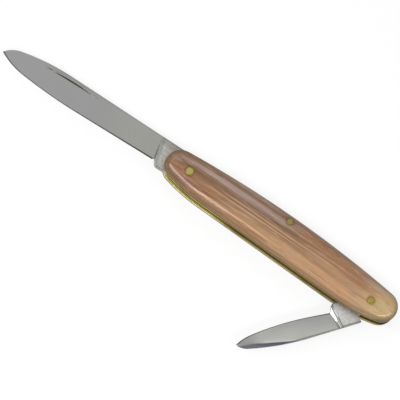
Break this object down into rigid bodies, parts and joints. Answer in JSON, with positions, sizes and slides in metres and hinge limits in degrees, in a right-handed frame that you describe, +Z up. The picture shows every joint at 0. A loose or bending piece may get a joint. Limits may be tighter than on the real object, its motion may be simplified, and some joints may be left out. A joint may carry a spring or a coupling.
{
  "type": "folding pocket knife",
  "caption": "Slim equal-end folding pen knife: a spear-point blade and a small pen blade pivot at opposite ends of a handle with brass liners, streaked wooden scales and a shared backspring.",
  "frame": {"origin": "on the flat land of the rear scale, under the point half way between the two blade pivots", "axes": "+X along the pivot line from the large blade's end to the small blade's end, +Y to the back of the knife, +Z up through the thickness to the near scale"},
  "size_m": [0.1437, 0.0427, 0.0096],
  "materials": {
    "scale_wood": "streaked brown, polished",
    "liner_brass": "rolled brass sheet, edges polished",
    "pin_brass": "spun and polished flush",
    "spring_steel": "hardened and polished",
    "blade_steel": "fine satin polish",
    "pen_steel": "fine satin polish"
  },
  "bodies": {
    "handle": {"front_scale": "scale_wood", "rear_scale": "scale_wood", "front_liner": "liner_brass", "rear_liner": "liner_brass", "main_pivot_pin": "pin_brass", "pen_pivot_pin": "pin_brass", "spring_pin": "pin_brass", "backspring": "spring_steel"},
    "main_blade": {"main_blade": "blade_steel"},
    "pen_blade": {"pen_blade": "pen_steel"}
  },
  "joints": [
    {"name": "main_blade_fold", "type": "hinge", "parent": "handle", "child": "main_blade", "pos_m": [-0.0338, 0, 0.0048], "axis": [0, 0, 1], "range_deg": [0, 176], "deforming": ["backspring"]},
    {"name": "pen_blade_fold", "type": "hinge", "parent": "handle", "child": "pen_blade", "pos_m": [0.0338, 0, 0.0048], "axis": [0, 0, 1], "range_deg": [-47.6, 128.4], "deforming": ["backspring"]}
  ]
}
